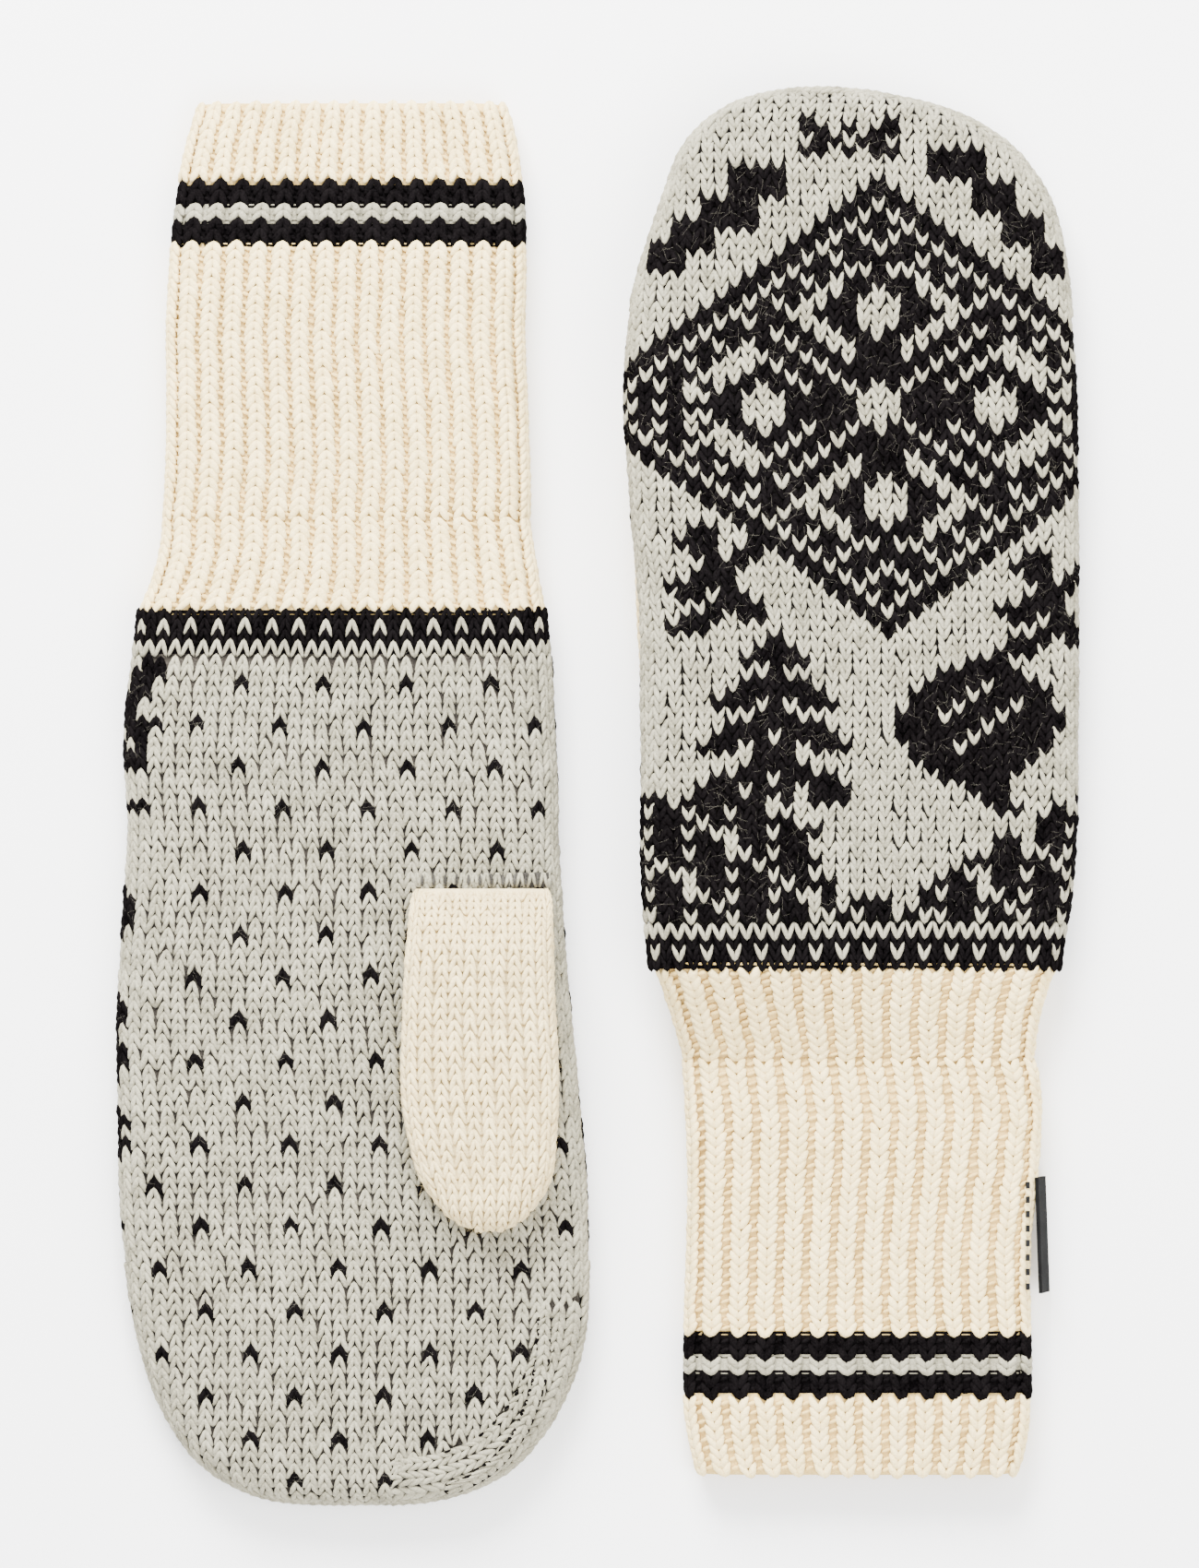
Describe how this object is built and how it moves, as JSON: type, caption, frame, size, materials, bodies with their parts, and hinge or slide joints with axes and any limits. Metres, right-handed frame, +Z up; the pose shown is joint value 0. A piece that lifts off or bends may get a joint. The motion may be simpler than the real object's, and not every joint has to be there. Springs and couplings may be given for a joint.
{
  "type": "knitted mittens",
  "caption": "Hand-knitted mittens with ribbed cuffs, a patterned back, a dotted palm and a knitted-on thumb, lying flat side by side.",
  "frame": {"origin": "middle of the pair's footprint, on the surface that it lies on", "axes": "+Y from the right mitten's cuff towards its fingertips, +X from the left mitten to the right one, +Z up"},
  "size_m": [0.207, 0.3048, 0.0269],
  "materials": {
    "palm_knit": "matt stranded wool knit, light grey-beige with single dark stitches",
    "back_knit": "matt stranded wool knit, dark and light diamond pattern",
    "back_floats_yarn": "matt wool yarn carried loose across the inside",
    "band_knit": "matt stranded wool knit, three patterned rounds",
    "cream_rib": "matt cream wool, one by one rib",
    "cream_knit": "soft fuzzy cream wool, plain knit",
    "dark_yarn": "matt near-black wool",
    "light_yarn": "matt light grey-beige wool",
    "label_cloth": "woven black tape, slight sheen",
    "sewing_thread": "fine black thread"
  },
  "bodies": {
    "left_hand": {"left_palm": "palm_knit", "left_palm_floats": "dark_yarn", "left_back": "back_knit", "left_back_floats": "back_floats_yarn", "left_wrist_band": "band_knit", "left_wrist_rib": "cream_rib", "left_thumb_join": "dark_yarn", "left_tip_seam": "light_yarn"},
    "left_cuff": {"left_cuff_rib": "cream_rib", "left_cuff_stripe_inner": "dark_yarn", "left_cuff_stripe_light": "light_yarn", "left_cuff_stripe_outer": "dark_yarn", "left_cuff_hem": "cream_rib"},
    "left_thumb": {"left_thumb": "cream_knit"},
    "right_hand": {"right_palm": "palm_knit", "right_palm_floats": "dark_yarn", "right_back": "back_knit", "right_back_floats": "back_floats_yarn", "right_wrist_band": "band_knit", "right_wrist_rib": "cream_rib", "right_thumb_join": "dark_yarn", "right_tip_seam": "light_yarn"},
    "right_cuff": {"right_cuff_rib": "cream_rib", "right_cuff_stripe_inner": "dark_yarn", "right_cuff_stripe_light": "light_yarn", "right_cuff_stripe_outer": "dark_yarn", "right_cuff_hem": "cream_rib", "right_label_stitches": "sewing_thread"},
    "right_thumb": {"right_thumb": "cream_knit"},
    "right_label": {"right_label": "label_cloth"}
  },
  "joints": [
    {"name": "right_mitten_apart", "type": "slide", "parent": "left_hand", "child": "right_hand", "axis": [1, 0, 0], "range_m": [0, 0.15]},
    {"name": "left_cuff_fold", "type": "hinge", "parent": "left_hand", "child": "left_cuff", "pos_m": [-0.0545, 0.0498, 0.0065], "axis": [1, 0, 0], "range_deg": [0, 90], "deforming": ["left_wrist_rib"]},
    {"name": "left_thumb_lift", "type": "hinge", "parent": "left_hand", "child": "left_thumb", "pos_m": [-0.0252, -0.0196, 0.01435], "axis": [-1, 0, 0], "range_deg": [0, 80]},
    {"name": "right_cuff_fold", "type": "hinge", "parent": "right_hand", "child": "right_cuff", "pos_m": [0.056, -0.0462, 0.0065], "axis": [-1, 0, 0], "range_deg": [0, 90], "deforming": ["right_wrist_rib"]},
    {"name": "right_thumb_swing", "type": "hinge", "parent": "right_hand", "child": "right_thumb", "pos_m": [0.0242, 0.0222, 0.0043], "axis": [0, 0, 1], "range_deg": [0, 20]},
    {"name": "right_label_flip", "type": "hinge", "parent": "right_cuff", "child": "right_label", "pos_m": [0.0946, -0.0946, 0.0094], "axis": [0.0349, -0.9994, 0], "range_deg": [0, 110]}
  ]
}
